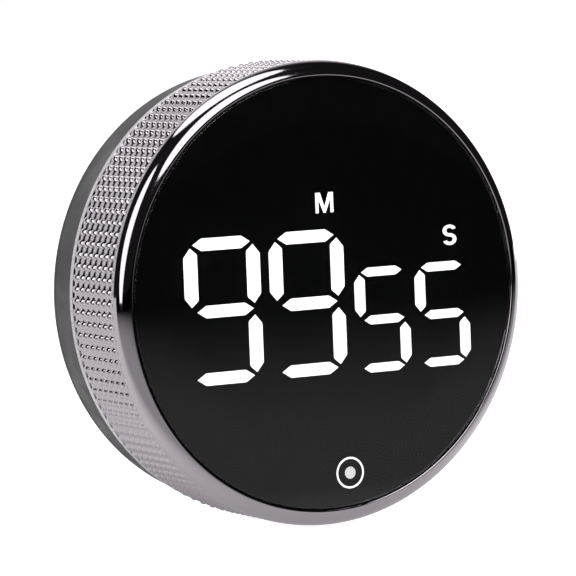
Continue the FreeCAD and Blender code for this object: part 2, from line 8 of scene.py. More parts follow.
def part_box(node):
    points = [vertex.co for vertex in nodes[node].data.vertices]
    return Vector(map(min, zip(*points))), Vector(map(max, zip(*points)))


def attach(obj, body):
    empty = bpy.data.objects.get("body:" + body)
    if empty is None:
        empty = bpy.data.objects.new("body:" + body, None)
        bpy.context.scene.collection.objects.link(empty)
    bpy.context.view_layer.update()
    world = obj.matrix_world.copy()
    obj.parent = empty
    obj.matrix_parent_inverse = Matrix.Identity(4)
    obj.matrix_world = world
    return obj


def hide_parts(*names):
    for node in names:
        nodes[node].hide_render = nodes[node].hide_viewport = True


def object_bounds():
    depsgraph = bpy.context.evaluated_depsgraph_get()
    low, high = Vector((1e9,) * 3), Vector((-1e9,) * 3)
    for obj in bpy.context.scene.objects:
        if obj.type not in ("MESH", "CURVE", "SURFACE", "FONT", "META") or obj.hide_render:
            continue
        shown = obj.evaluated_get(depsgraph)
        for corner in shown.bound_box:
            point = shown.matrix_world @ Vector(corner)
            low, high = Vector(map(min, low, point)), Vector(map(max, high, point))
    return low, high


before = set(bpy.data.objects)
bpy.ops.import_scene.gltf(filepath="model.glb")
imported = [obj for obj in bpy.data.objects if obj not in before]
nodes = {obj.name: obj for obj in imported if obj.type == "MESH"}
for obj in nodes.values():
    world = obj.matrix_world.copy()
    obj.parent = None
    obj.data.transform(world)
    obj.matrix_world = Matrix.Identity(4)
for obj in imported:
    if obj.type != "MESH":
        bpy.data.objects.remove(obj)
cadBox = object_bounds()

mm = 0.001  # every size below is in millimetres and is turned into metres where a mesh is made
toMillimetres = 1000.0


# Numbers that several pieces share, read off the frame.

def boxInMm(node):
    low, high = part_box(node)
    return np.array(low) * toMillimetres, np.array(high) * toMillimetres


shellLow, shellHigh = boxInMm("knob_shell")
lensLow, lensHigh = boxInMm("front_lens")
filmLow = boxInMm("lens_mask")[0]
crestRadius = shellHigh[0]
frontY = lensLow[1]
lensRadius = lensHigh[0]
print("frame: ring radius", round(crestRadius, 3), "mm, front face at y", round(frontY, 3), "mm")


# Meshes.

# A profile of (radius, y) points turned round the Y axis: x = radius cos(angle), z = radius sin(angle).
def turnProfile(profile, count):
    angle = np.linspace(0.0, 2.0 * np.pi, count, endpoint=False)[:, None]
    radius = profile[None, :, 0]
    along = np.broadcast_to(profile[None, :, 1], (count, len(profile)))
    return np.stack((radius * np.cos(angle), along, radius * np.sin(angle)), axis=-1)


# Quads between neighbours of a grid that is closed round its first direction, and its second if asked.
def gridQuads(around, along, closedAlong):
    i, j = np.meshgrid(np.arange(around), np.arange(along if closedAlong else along - 1), indexing="ij")
    nextI = (i + 1) % around
    nextJ = (j + 1) % along
    corners = (i * along + j, i * along + nextJ, nextI * along + nextJ, nextI * along + j)
    return np.stack(corners, axis=-1).reshape(-1, 4)


# A fan of triangles from one pole point to a ring of the grid.
def poleFan(around, along, column, pole, outward):
    i = np.arange(around)
    here = i * along + column
    after = ((i + 1) % around) * along + column
    middle = np.full(around, pole)
    order = (middle, here, after) if outward else (middle, after, here)
    return np.stack(order, axis=-1)


def makePiece(name, points, faces, material, smoothAngle):
    mesh = bpy.data.meshes.new(name)
    mesh.from_pydata((points * mm).tolist(), [], faces)
    mesh.validate()
    mesh.shade_smooth()
    mesh.set_sharp_from_angle(angle=math.radians(smoothAngle))
    mesh.materials.append(material)
    piece = bpy.data.objects.new(name, mesh)
    bpy.context.scene.collection.objects.link(piece)
    return piece


# A closed ring: the profile is a loop, so every seam meets itself.
def turnedRing(name, profile, count, material, smoothAngle=35.0):
    points = turnProfile(profile, count).reshape(-1, 3)
    return makePiece(name, points, gridQuads(count, len(profile), True).tolist(), material, smoothAngle)


# A closed disc: the profile starts and ends on the axis, where one point takes all the triangles.
def turnedDisc(name, profile, count, material, smoothAngle=35.0):
    inner = profile[1:-1]
    points = turnProfile(inner, count).reshape(-1, 3)
    poles = np.array([[0.0, profile[0, 1], 0.0], [0.0, profile[-1, 1], 0.0]])
    firstPole = len(points)
    quads = gridQuads(count, len(inner), False).tolist()
    front = poleFan(count, len(inner), 0, firstPole, True).tolist()
    back = poleFan(count, len(inner), len(inner) - 1, firstPole + 1, False).tolist()
    return makePiece(name, np.concatenate((points, poles)), quads + front + back, material, smoothAngle)


# Points of a circular arc from one angle to another, angles in degrees from the radius towards +Y.
def arcPoints(centre, radius, startAngle, endAngle, count):
    angle = np.radians(np.linspace(startAngle, endAngle, count))
    return np.stack((centre[0] + radius * np.cos(angle), centre[1] + radius * np.sin(angle)), axis=-1)


# Shader groups: each takes a place in millimetres and puts out colours, masks or heights.

def addNode(tree, kind, inputs=None, **settings):
    node = tree.nodes.new(kind)
    for key, value in settings.items():
        setattr(node, key, value)
    for key, value in (inputs or {}).items():
        if isinstance(value, bpy.types.NodeSocket):
            tree.links.new(value, node.inputs[key])
        else:
            node.inputs[key].default_value = value
    return node


def mathNode(tree, operation, first, second=0.0, third=0.0):
    node = addNode(tree, "ShaderNodeMath", {0: first, 1: second, 2: third}, operation=operation)
    return node.outputs[0]


def newGroup(name, inputs, outputs):
    tree = bpy.data.node_groups.new(name, "ShaderNodeTree")
    for label, value in inputs.items():
        kind = "NodeSocketVector" if value is None else "NodeSocketFloat"
        kind = "NodeSocketColor" if isinstance(value, tuple) else kind
        socket = tree.interface.new_socket(name=label, in_out="INPUT", socket_type=kind)
        if value is not None:
            socket.default_value = value
    for label, kind in outputs.items():
        tree.interface.new_socket(name=label, in_out="OUTPUT", socket_type=kind)
    return tree, tree.nodes.new("NodeGroupInput").outputs, tree.nodes.new("NodeGroupOutput").inputs


# Height = seven parts of one noise and three parts of a noise three times finer.
def makeFineGrain():
    tree, given, made = newGroup("fineGrain", {"Place": None, "Scale": 6.0}, {"Height": "NodeSocketFloat"})
    coarse = addNode(tree, "ShaderNodeTexNoise", {
        "Vector": given["Place"], "Scale": given["Scale"], "Detail": 2.0})
    finer = mathNode(tree, "MULTIPLY", given["Scale"], 3.0)
    fine = addNode(tree, "ShaderNodeTexNoise", {"Vector": given["Place"], "Scale": finer, "Detail": 1.0})
    low = mathNode(tree, "MULTIPLY", coarse.outputs["Fac"], 0.7)
    tree.links.new(mathNode(tree, "MULTIPLY_ADD", fine.outputs["Fac"], 0.3, low), made["Height"])
    return tree


# Value = a slow warped noise, spread from Low to High, as hands leave on a smooth surface.
def makeSmudges():
    tree, given, made = newGroup(
        "smudges", {"Place": None, "Scale": 0.12, "Low": 0.2, "High": 0.3}, {"Value": "NodeSocketFloat"})
    cloud = addNode(tree, "ShaderNodeTexNoise", {
        "Vector": given["Place"], "Scale": given["Scale"], "Detail": 3.0, "Distortion": 0.8})
    spread = addNode(tree, "ShaderNodeMapRange", {
        "Value": cloud.outputs["Fac"], "From Min": 0.35, "From Max": 0.65,
        "To Min": given["Low"], "To Max": given["High"]}, interpolation_type="SMOOTHSTEP")
    tree.links.new(spread.outputs["Result"], made["Value"])
    return tree


# Colour = the given colour times 1 + 4 Drift (slow noise - 0.5).
def makeColourDrift():
    tree, given, made = newGroup(
        "colourDrift", {"Place": None, "Scale": 0.2, "Colour": (0.5, 0.5, 0.5, 1.0), "Drift": 0.05},
        {"Colour": "NodeSocketColor"})
    cloud = addNode(tree, "ShaderNodeTexNoise", {
        "Vector": given["Place"], "Scale": given["Scale"], "Detail": 4.0})
    centred = mathNode(tree, "SUBTRACT", cloud.outputs["Fac"], 0.5)
    gain = mathNode(tree, "MULTIPLY_ADD", mathNode(tree, "MULTIPLY", centred, 4.0), given["Drift"], 1.0)
    scaled = addNode(tree, "ShaderNodeVectorMath", {0: given["Colour"], "Scale": gain}, operation="SCALE")
    tree.links.new(scaled.outputs["Vector"], made["Colour"])
    return tree


# Mask = thin lines where a noise, stretched along X and turned a little, crosses one level.
def makeHairScratches():
    tree, given, made = newGroup(
        "hairScratches", {"Place": None, "Scale": 1.5, "Width": 0.01}, {"Mask": "NodeSocketFloat"})
    stretched = addNode(tree, "ShaderNodeMapping", {
        "Vector": given["Place"], "Rotation": (0.2, 0.5, 0.1), "Scale": (0.06, 1.0, 1.0)})
    streaks = addNode(tree, "ShaderNodeTexNoise", {
        "Vector": stretched.outputs["Vector"], "Scale": given["Scale"], "Detail": 3.0})
    away = mathNode(tree, "ABSOLUTE", mathNode(tree, "SUBTRACT", streaks.outputs["Fac"], 0.5))
    line = addNode(tree, "ShaderNodeMapRange", {
        "Value": away, "From Min": 0.0, "From Max": given["Width"], "To Min": 1.0, "To Max": 0.0})
    tree.links.new(line.outputs["Result"], made["Mask"])
    return tree


# Height = a noise of one value: the distance from the Y axis plus y, over Pitch, as turning leaves.
def makeTurnedLines():
    tree, given, made = newGroup(
        "turnedLines", {"Place": None, "Pitch": 0.15}, {"Height": "NodeSocketFloat"})
    parts = addNode(tree, "ShaderNodeSeparateXYZ", {"Vector": given["Place"]})
    across = addNode(tree, "ShaderNodeCombineXYZ", {"X": parts.outputs["X"], "Y": parts.outputs["Z"]})
    radius = addNode(tree, "ShaderNodeVectorMath", {0: across.outputs["Vector"]}, operation="LENGTH")
    travel = mathNode(tree, "ADD", radius.outputs["Value"], parts.outputs["Y"])
    row = mathNode(tree, "DIVIDE", travel, given["Pitch"])
    lines = addNode(tree, "ShaderNodeTexNoise", {
        "W": row, "Scale": 1.0, "Detail": 2.0}, noise_dimensions="1D")
    tree.links.new(lines.outputs["Fac"], made["Height"])
    return tree


# Mask = round specks of dust, nearer than Size to a Voronoi cell's point, in three cells out of ten.
def makeDustSpecks():
    tree, given, made = newGroup(
        "dustSpecks", {"Place": None, "Scale": 0.8, "Size": 0.05}, {"Mask": "NodeSocketFloat"})
    cells = addNode(tree, "ShaderNodeTexVoronoi", {"Vector": given["Place"], "Scale": given["Scale"]})
    inside = mathNode(tree, "LESS_THAN", cells.outputs["Distance"], given["Size"])
    shade = addNode(tree, "ShaderNodeSeparateXYZ", {"Vector": cells.outputs["Color"]})
    kept = mathNode(tree, "GREATER_THAN", shade.outputs["X"], 0.7)
    tree.links.new(mathNode(tree, "MULTIPLY", inside, kept), made["Mask"])
    return tree


# Mask = copper tracks, 0.45 of a pitch wide and one to each pitch, along x or z by blocks of the board.
def makeTracks():
    tree, given, made = newGroup("tracks", {"Place": None, "Pitch": 0.8}, {"Mask": "NodeSocketFloat"})
    blocks = addNode(tree, "ShaderNodeTexVoronoi", {
        "Vector": given["Place"], "Scale": 0.16}, distance="CHEBYCHEV")
    pick = addNode(tree, "ShaderNodeSeparateXYZ", {"Vector": blocks.outputs["Color"]})
    upright = mathNode(tree, "GREATER_THAN", pick.outputs["X"], 0.5)
    parts = addNode(tree, "ShaderNodeSeparateXYZ", {"Vector": given["Place"]})
    travel = addNode(tree, "ShaderNodeMix", {
        "Factor": upright, "A": parts.outputs["X"], "B": parts.outputs["Z"]}, data_type="FLOAT")
    step = mathNode(tree, "FRACT", mathNode(tree, "DIVIDE", travel.outputs["Result"], given["Pitch"]))
    tree.links.new(mathNode(tree, "LESS_THAN", step, 0.45), made["Mask"])
    return tree


groups = {
    "fineGrain": makeFineGrain(),
    "smudges": makeSmudges(),
    "colourDrift": makeColourDrift(),
    "hairScratches": makeHairScratches(),
    "turnedLines": makeTurnedLines(),
    "dustSpecks": makeDustSpecks(),
    "tracks": makeTracks(),
}
print("groups:", len(groups), "shader groups")


def useGroup(tree, name, inputs):
    return addNode(tree, "ShaderNodeGroup", inputs, node_tree=groups[name]).outputs


# Materials.

def newMaterial(name):
    material = bpy.data.materials.new(name)
    material.use_nodes = True
    tree = material.node_tree
    shader = tree.nodes["Principled BSDF"]
    where = addNode(tree, "ShaderNodeTexCoord")
    place = addNode(tree, "ShaderNodeVectorMath", {
        0: where.outputs["Object"], "Scale": toMillimetres}, operation="SCALE")
    return material, tree, shader, place.outputs["Vector"]


def addBump(tree, shader, height, depth):
    bump = addNode(tree, "ShaderNodeBump", {"Height": height, "Distance": depth * mm, "Strength": 1.0})
    tree.links.new(bump.outputs["Normal"], shader.inputs["Normal"])


def setSockets(shader, values):
    for key, value in values.items():
        shader.inputs[key].default_value = value


# Roughness = the smudges' value between the two in the look.
def roughness(tree, place, look):
    smudges = useGroup(tree, "smudges", {
        "Place": place, "Scale": look["smudgeScale"], "Low": look["rough"][0], "High": look["rough"][1]})
    return smudges["Value"]


# Colour = the look's colour, drifting slowly.
def driftingColour(tree, place, look):
    drift = useGroup(tree, "colourDrift", {
        "Place": place, "Scale": look["driftScale"], "Colour": (*look["colour"], 1.0),
        "Drift": look["drift"]})
    return drift["Colour"]


# Colour = the first one where the factor is 0 and the second where it is 1. A Mix node's inputs 6 and 7 and
# output 2 are its colours.
def mixColours(tree, factor, first, second):
    mix = addNode(tree, "ShaderNodeMix", {"Factor": factor, 6: first, 7: second}, data_type="RGBA")
    return mix.outputs[2]


# Colour drifts slowly and gloss follows smudges. Height = fine grain of the given size times its depth.
def surfaceFinish(name, look):
    material, tree, shader, place = newMaterial(name)
    tree.links.new(driftingColour(tree, place, look), shader.inputs["Base Color"])
    tree.links.new(roughness(tree, place, look), shader.inputs["Roughness"])
    grain = useGroup(tree, "fineGrain", {"Place": place, "Scale": 1.0 / look["grainSize"]})
    addBump(tree, shader, grain["Height"], look["grainDepth"])
    setSockets(shader, look.get("sockets", {}))
    return material


plasticLooks = {
    "ringSatin": {"colour": (0.42, 0.385, 0.42), "drift": 0.03, "driftScale": 0.1, "rough": (0.06, 0.1),
                  "smudgeScale": 0.15, "grainSize": 0.25, "grainDepth": 0.001,
                  "sockets": {"Metallic": 1.0}},
    "satinBlack": {"colour": (0.018, 0.018, 0.019), "drift": 0.08, "driftScale": 0.2, "rough": (0.38, 0.5),
                   "smudgeScale": 0.1, "grainSize": 0.12, "grainDepth": 0.006},
    "sparkBlack": {"colour": (0.02, 0.02, 0.0215), "drift": 0.1, "driftScale": 0.3, "rough": (0.42, 0.56),
                   "smudgeScale": 0.08, "grainSize": 0.16, "grainDepth": 0.016,
                   "sockets": {"Specular IOR Level": 0.32}},
    "satinWhite": {"colour": (0.78, 0.78, 0.76), "drift": 0.02, "driftScale": 0.2, "rough": (0.32, 0.42),
                   "smudgeScale": 0.1, "grainSize": 0.2, "grainDepth": 0.004},
    "blackPrint": {"colour": (0.0085, 0.009, 0.0088), "drift": 0.1, "driftScale": 0.4, "rough": (0.35, 0.5),
                   "smudgeScale": 0.2, "grainSize": 0.08, "grainDepth": 0.0004,
                   "sockets": {"Specular IOR Level": 0.0}},
    "smokedWindow": {"colour": (0.0095, 0.01, 0.01), "drift": 0.1, "driftScale": 0.6, "rough": (0.3, 0.4),
                     "smudgeScale": 0.2, "grainSize": 0.1, "grainDepth": 0.0004,
                     "sockets": {"Specular IOR Level": 0.0}},
    "frostedFilm": {"colour": (0.85, 0.85, 0.84), "drift": 0.02, "driftScale": 0.3, "rough": (0.6, 0.7),
                    "smudgeScale": 0.2, "grainSize": 0.05, "grainDepth": 0.003},
    "chipBlack": {"colour": (0.022, 0.022, 0.023), "drift": 0.1, "driftScale": 0.5, "rough": (0.5, 0.62),
                  "smudgeScale": 0.4, "grainSize": 0.06, "grainDepth": 0.006},
    "shrinkSleeve": {"colour": (0.03, 0.04, 0.09), "drift": 0.06, "driftScale": 0.5, "rough": (0.22, 0.34),
                     "smudgeScale": 0.3, "grainSize": 0.4, "grainDepth": 0.006},
    "ledBody": {"colour": (0.86, 0.8, 0.5), "drift": 0.06, "driftScale": 1.2, "rough": (0.35, 0.45),
                "smudgeScale": 0.6, "grainSize": 0.1, "grainDepth": 0.003},
    "redLead": {"colour": (0.55, 0.015, 0.012), "drift": 0.05, "driftScale": 0.4, "rough": (0.3, 0.42),
                "smudgeScale": 0.3, "grainSize": 0.2, "grainDepth": 0.003},
    "blackLead": {"colour": (0.015, 0.015, 0.015), "drift": 0.05, "driftScale": 0.4, "rough": (0.3, 0.42),
                  "smudgeScale": 0.3, "grainSize": 0.2, "grainDepth": 0.003},
    "greyLead": {"colour": (0.26, 0.26, 0.265), "drift": 0.05, "driftScale": 0.4, "rough": (0.3, 0.42),
                 "smudgeScale": 0.3, "grainSize": 0.2, "grainDepth": 0.003},
}


# Metal left by turning or drawing. Roughness = smudges + hair scratches times how much they dull the
# polish, and height = turned lines times their depth.
def workedMetal(name, look):
    material, tree, shader, place = newMaterial(name)
    scratches = useGroup(tree, "hairScratches", {
        "Place": place, "Scale": look["scratchScale"], "Width": look["scratchWidth"]})
    dulled = mathNode(
        tree, "MULTIPLY_ADD", scratches["Mask"], look["scratchDulls"], roughness(tree, place, look))
    lines = useGroup(tree, "turnedLines", {"Place": place, "Pitch": look["linePitch"]})
    tree.links.new(driftingColour(tree, place, look), shader.inputs["Base Color"])
    tree.links.new(dulled, shader.inputs["Roughness"])
    addBump(tree, shader, lines["Height"], look["lineDepth"])
    setSockets(shader, {"Metallic": 1.0})
    return material


metalLooks = {
    "ringPolished": {"colour": (0.42, 0.385, 0.42), "drift": 0.02, "driftScale": 0.15,
                     "rough": (0.045, 0.085), "smudgeScale": 0.12,
                     "scratchScale": 0.9, "scratchWidth": 0.004, "scratchDulls": 0.05,
                     "linePitch": 0.12, "lineDepth": 0.00012},
    "brightNickel": {"colour": (0.68, 0.665, 0.64), "drift": 0.04, "driftScale": 0.15,
                     "rough": (0.14, 0.24), "smudgeScale": 0.4,
                     "scratchScale": 2.0, "scratchWidth": 0.01, "scratchDulls": 0.12,
                     "linePitch": 0.1, "lineDepth": 0.001},
    "magnetNickel": {"colour": (0.6, 0.59, 0.575), "drift": 0.03, "driftScale": 0.15,
                     "rough": (0.1, 0.22), "smudgeScale": 0.25,
                     "scratchScale": 1.6, "scratchWidth": 0.012, "scratchDulls": 0.2,
                     "linePitch": 0.3, "lineDepth": 0.0006},
    "blackZinc": {"colour": (0.07, 0.07, 0.074), "drift": 0.08, "driftScale": 0.15,
                  "rough": (0.28, 0.4), "smudgeScale": 0.6,
                  "scratchScale": 2.5, "scratchWidth": 0.015, "scratchDulls": 0.15,
                  "linePitch": 0.12, "lineDepth": 0.002},
}


clearLook = {"colour": (0.98, 0.98, 0.98), "ior": 1.49, "rough": (0.0, 0.012), "smudgeScale": 0.06,
             "dustScale": 0.35, "dustSize": 0.02, "dustRough": 0.25}


# Clear acrylic. Roughness = faint smudges + specks of dust times their roughness.
def clearAcrylic(name, look):
    material, tree, shader, place = newMaterial(name)
    dust = useGroup(tree, "dustSpecks", {
        "Place": place, "Scale": look["dustScale"], "Size": look["dustSize"]})
    total = mathNode(tree, "MULTIPLY_ADD", dust["Mask"], look["dustRough"], roughness(tree, place, look))
    tree.links.new(total, shader.inputs["Roughness"])
    setSockets(shader, {
        "Base Color": (*look["colour"], 1.0), "Transmission Weight": 1.0, "IOR": look["ior"]})
    return material


iconLow, iconHigh = boxInMm("button_icon")
litLook = {"colour": (1.0, 1.0, 1.0), "film": (0.8, 0.8, 0.8), "strength": 1.12, "drift": 0.02,
           "driftScale": 0.5, "rough": 0.5, "dimRadius": 1.6, "dimShare": 0.45}


# A lit window: white light that is a little uneven. Light = drifting colour times 1, or times dimShare
# within dimRadius of the middle of the button's icon.
def litWindow(name, look):
    material, tree, shader, place = newMaterial(name)
    middle = tuple(((iconLow + iconHigh) / 2).tolist())
    reach = addNode(tree, "ShaderNodeVectorMath", {0: place, 1: middle}, operation="DISTANCE")
    isDim = mathNode(tree, "LESS_THAN", reach.outputs["Value"], look["dimRadius"])
    share = mathNode(tree, "MULTIPLY_ADD", isDim, look["dimShare"] - 1.0, 1.0)
    light = addNode(tree, "ShaderNodeVectorMath", {
        0: driftingColour(tree, place, look), "Scale": share}, operation="SCALE")
    tree.links.new(light.outputs["Vector"], shader.inputs["Emission Color"])
    setSockets(shader, {"Base Color": (*look["film"], 1.0), "Roughness": look["rough"],
                        "Emission Strength": look["strength"]})
    return material


boardLook = {"mask": (0.012, 0.11, 0.045), "track": (0.03, 0.2, 0.08), "pitch": 0.8, "rough": (0.2, 0.32),
             "smudgeScale": 0.3, "trackDepth": 0.03}


# Solder resist over copper. Colour = the resist's, or the lighter one on a track, and height = the
# tracks' mask times their depth.
def circuitBoard(name, look):
    material, tree, shader, place = newMaterial(name)
    tracks = useGroup(tree, "tracks", {"Place": place, "Pitch": look["pitch"]})
    colour = mixColours(tree, tracks["Mask"], (*look["mask"], 1.0), (*look["track"], 1.0))
    tree.links.new(colour, shader.inputs["Base Color"])
    tree.links.new(roughness(tree, place, look), shader.inputs["Roughness"])
    addBump(tree, shader, tracks["Mask"], look["trackDepth"])
    return material


cellLow, cellHigh = boxInMm("battery_cell_1")
cellLook = {"sleeve": (0.03, 0.055, 0.1), "collar": (0.42, 0.44, 0.46), "metal": (0.62, 0.61, 0.59),
            "bareEnd": 1.4, "collarLength": 10.0, "rough": (0.2, 0.3), "smudgeScale": 0.3,
            "grainSize": 0.4, "grainDepth": 0.004}


# A dry cell. Colour = dark blue sleeve, pale grey within collarLength of the plus end, and bare steel
# within bareEnd of either end.
def cellSleeve(name, look, plusUp):
    material, tree, shader, place = newMaterial(name)
    parts = addNode(tree, "ShaderNodeSeparateXYZ", {"Vector": place})
    side = 1.0 if plusUp else -1.0
    middle = (cellLow[2] + cellHigh[2]) / 2
    half = (cellHigh[2] - cellLow[2]) / 2
    height = mathNode(tree, "MULTIPLY", mathNode(tree, "SUBTRACT", parts.outputs["Z"], middle), side)
    inCollar = mathNode(tree, "GREATER_THAN", height, half - look["collarLength"])
    isBare = mathNode(tree, "GREATER_THAN", mathNode(tree, "ABSOLUTE", height), half - look["bareEnd"])
    printed = mixColours(tree, inCollar, (*look["sleeve"], 1.0), (*look["collar"], 1.0))
    whole = mixColours(tree, isBare, printed, (*look["metal"], 1.0))
    tree.links.new(whole, shader.inputs["Base Color"])
    tree.links.new(isBare, shader.inputs["Metallic"])
    tree.links.new(roughness(tree, place, look), shader.inputs["Roughness"])
    grain = useGroup(tree, "fineGrain", {"Place": place, "Scale": 1.0 / look["grainSize"]})
    addBump(tree, shader, grain["Height"], look["grainDepth"])
    return material


materials = {name: surfaceFinish(name, look) for name, look in plasticLooks.items()}
materials.update({name: workedMetal(name, look) for name, look in metalLooks.items()})
materials["clearAcrylic"] = clearAcrylic("clearAcrylic", clearLook)
materials["litWindow"] = litWindow("litWindow", litLook)
materials["circuitBoard"] = circuitBoard("circuitBoard", boardLook)
materials["cellPlusUp"] = cellSleeve("cellPlusUp", cellLook, True)
materials["cellPlusDown"] = cellSleeve("cellPlusDown", cellLook, False)
print("materials:", len(materials), "finishes")


# The frame's own pieces take their finish.

nodeFinishes = {
    "satinBlack": ["gear_ring", "lens_carrier", "display_frame", "tact_plunger", "volume_slider"],
    "sparkBlack": ["base_housing", "battery_door"],
    "satinWhite": ["glide_ring", "led_reflector", "encoder_pinion"],
    "clearAcrylic": ["front_lens"],
    "blackPrint": ["lens_mask"],
    "frostedFilm": ["diffuser_sheet"],
    "litWindow": ["minute_tens_segments", "minute_units_segments", "second_tens_segments",
                  "second_units_segments", "unit_marks", "button_icon"],
    "smokedWindow": ["unlit_segments"],
    "brightNickel": ["lens_hinge_pin", "crystal_can", "tact_switch", "board_screws", "battery_springs",
                     "contact_plates", "slide_switch"],
    "ledBody": ["segment_leds"],
    "circuitBoard": ["main_board", "switch_board"],
    "chipBlack": ["controller_chip", "driver_transistors", "buzzer", "encoder_body"],
    "shrinkSleeve": ["power_capacitor"],
    "blackZinc": ["case_screws"],
    "magnetNickel": ["back_magnets"],
    "cellPlusUp": ["battery_cell_1", "battery_cell_3"],
    "cellPlusDown": ["battery_cell_2"],
    "redLead": ["positive_lead"],
    "blackLead": ["negative_lead"],
    "greyLead": ["switch_leads"],
    "ringSatin": ["knob_shell"],
}


def finishNodes():
    for finish, names in nodeFinishes.items():
        for name in names:
            slots = nodes[name].data.materials
            slots.clear()
            slots.append(materials[finish])


finishNodes()
print("finishes: set on", sum(len(names) for names in nodeFinishes.values()), "frame pieces")


# The knurled band of the ring.

knurl = {
    "rows": 125,             # rows of domes round the band
    "acrossDome": 8,         # steps over a dome, round the band
    "domes": 8,              # domes in one row, front to rear
    "alongDome": 7,          # steps over a dome, along the axis; one more step crosses the groove
    "firstDome": 3.0,        # from the front face to the middle of the first dome
    "pitch": 1.95,           # between domes along the axis
    "halfWidth": 0.64,       # of a dome, round the band
    "halfLength": 0.9,       # of a dome and of the ridge it stands on, along the axis
    "domeHeight": 0.38,
    "ridgeHeight": 0.34,
    "shape": 0.7,            # power of the dome's section, 0.5 for an ellipse, 1 for a parabola
    "rearEdge": 0.2,         # chamfer at the rear edge
    "rearStep": 0.12,        # from the last groove up to the plain strip
    "frontGap": 0.05,        # a dome's steps nearer the lip than this are left out
    "wall": 1.45,
    "phase": 164.55,         # angle of one row, in degrees
    "smoothAngle": 45.0,
}


# Ridges run round the band and carry the domes, and a plain strip at the ridges' height ends it. With u and
# v running from -1 to 1 over a dome's width and length, radius = base + ridge height (1 - v^2) + dome
# height (1 - u^2 - v^2)^shape, and a negative bracket counts as nought.
def knurlBand(look, startDepth):
    base = crestRadius - look["domeHeight"] - look["ridgeHeight"]
    endDepth = shellHigh[1] - frontY
    steps = np.linspace(-1.0, 1.0, look["alongDome"] + 1)
    middles = look["firstDome"] + look["pitch"] * np.arange(look["domes"])
    domed = (middles[:, None] + look["halfLength"] * steps[None, :]).ravel()
    kept = domed > startDepth + look["frontGap"]
    plain = np.array([domed[-1] + look["rearStep"], endDepth - look["rearEdge"]])
    depth = np.concatenate(([startDepth], domed[kept], plain))
    v = np.concatenate(([1.0], np.tile(steps, look["domes"])[kept], [1.0, 1.0]))
    rowAngle = 2.0 * np.pi / look["rows"]
    halfGap = rowAngle * crestRadius / look["halfWidth"] / 2
    u = np.append(np.linspace(-1.0, 1.0, look["acrossDome"] + 1), halfGap)
    rowAngles = math.radians(look["phase"]) + rowAngle * np.arange(look["rows"])
    angle = (rowAngles[:, None] + u[None, :] * look["halfWidth"] / crestRadius).ravel()
    u = np.tile(u, look["rows"])
    count = len(angle)
    inside = np.clip(1.0 - u[:, None] ** 2 - v[None, :] ** 2, 0.0, 1.0)
    ridge = np.where(depth > domed[-1], 1.0, 1.0 - v ** 2)
    outer = base + look["ridgeHeight"] * ridge[None, :] + look["domeHeight"] * inside ** look["shape"]
    closing = np.array([[crestRadius - look["domeHeight"] - look["rearEdge"], endDepth],
                        [crestRadius - look["wall"], endDepth],
                        [crestRadius - look["wall"], startDepth]])
    radius = np.concatenate((outer, np.broadcast_to(closing[:, 0], (count, len(closing)))), axis=1)
    along = np.broadcast_to(np.concatenate((depth, closing[:, 1])) + frontY, radius.shape)
    points = np.stack((radius * np.cos(angle)[:, None], along, radius * np.sin(angle)[:, None]), axis=-1)
    faces = gridQuads(count, radius.shape[1], True).tolist()
    points = points.reshape(-1, 3)
    return makePiece("knurl_band", points, faces, materials["ringSatin"], look["smoothAngle"])


# The polished lip.

lip = {
    "innerRadius": 36.32,
    "edge": 0.3,             # rounding of the inner edge
    "edgeStart": 180.0,
    "edgeEnd": 262.0,
    "edgeSamples": 10,
    "arcCentre": (35.784, 3.339),   # radius and depth of the centre of the lip's arc
    "arcRadius": 3.465,
    "arcStart": -73.0,       # degrees, from the radius towards the back
    "arcEnd": -20.0,
    "fillet": 0.3,           # step from the lip down to the knurl's base, from the arc's end
    "filletTop": ((0.02, 0.06), (0.12, 0.14)),   # below the crest, and past the arc's end
    "filletFoot": (0.06, 0.22),                  # above the knurl's base, and past the arc's end
    "seat": 0.3,             # how far the lip's rear goes in under the knurl's base
    "innerStep": 0.4,        # from the inner wall to the rear of the lip
    "innerDepth": 1.6,
    "samples": 720,
    "arcSamples": 36,
}


# Profile: up the inner wall, round its edge, over one arc, and down a small fillet to the knurl's base.
def ringLip(look):
    arc = arcPoints(
        look["arcCentre"], look["arcRadius"], look["arcStart"], look["arcEnd"], look["arcSamples"])
    arc[:, 0] = np.minimum(arc[:, 0], crestRadius)
    edgeCentre = (look["innerRadius"] + look["edge"], look["edge"])
    edge = arcPoints(edgeCentre, look["edge"], look["edgeStart"], look["edgeEnd"], look["edgeSamples"])
    endDepth = arc[-1, 1]
    base = crestRadius - knurl["domeHeight"] - knurl["ridgeHeight"]
    rear = endDepth + look["fillet"]
    top = [[crestRadius - drop, endDepth + reach] for drop, reach in look["filletTop"]]
    rise, reach = look["filletFoot"]
    fillet = np.array(top + [[base + rise, endDepth + reach], [base, rear]])
    inside = np.array([[base - look["seat"], rear], [look["innerRadius"] + look["innerStep"], rear],
                       [look["innerRadius"], look["innerDepth"]]])
    profile = np.concatenate((edge, arc, fillet, inside))
    profile[:, 1] += frontY
    return turnedRing("ring_lip", profile, look["samples"], materials["ringPolished"]), rear


def makeRing():
    rim, startDepth = ringLip(lip)
    band = knurlBand(knurl, startDepth)
    for piece in (band, rim):
        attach(piece, "knob")
        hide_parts("knob_shell")
    print("ring: band has", len(band.data.polygons), "faces, lip has", len(rim.data.polygons))


makeRing()


# The window.

window = {
    "bevel": 0.2,            # rounding of the front edge
    "bevelSamples": 8,
    "backing": 0.02,         # how far the window sinks into the film, as if bonded to it
    "frontRings": (0.0, 0.35, 0.7),   # shares of the radius at which the flat front has a ring of points
    "backRing": 0.5,
    "backEdge": 0.1,         # chamfer at the back edge
    "samples": 360,
}


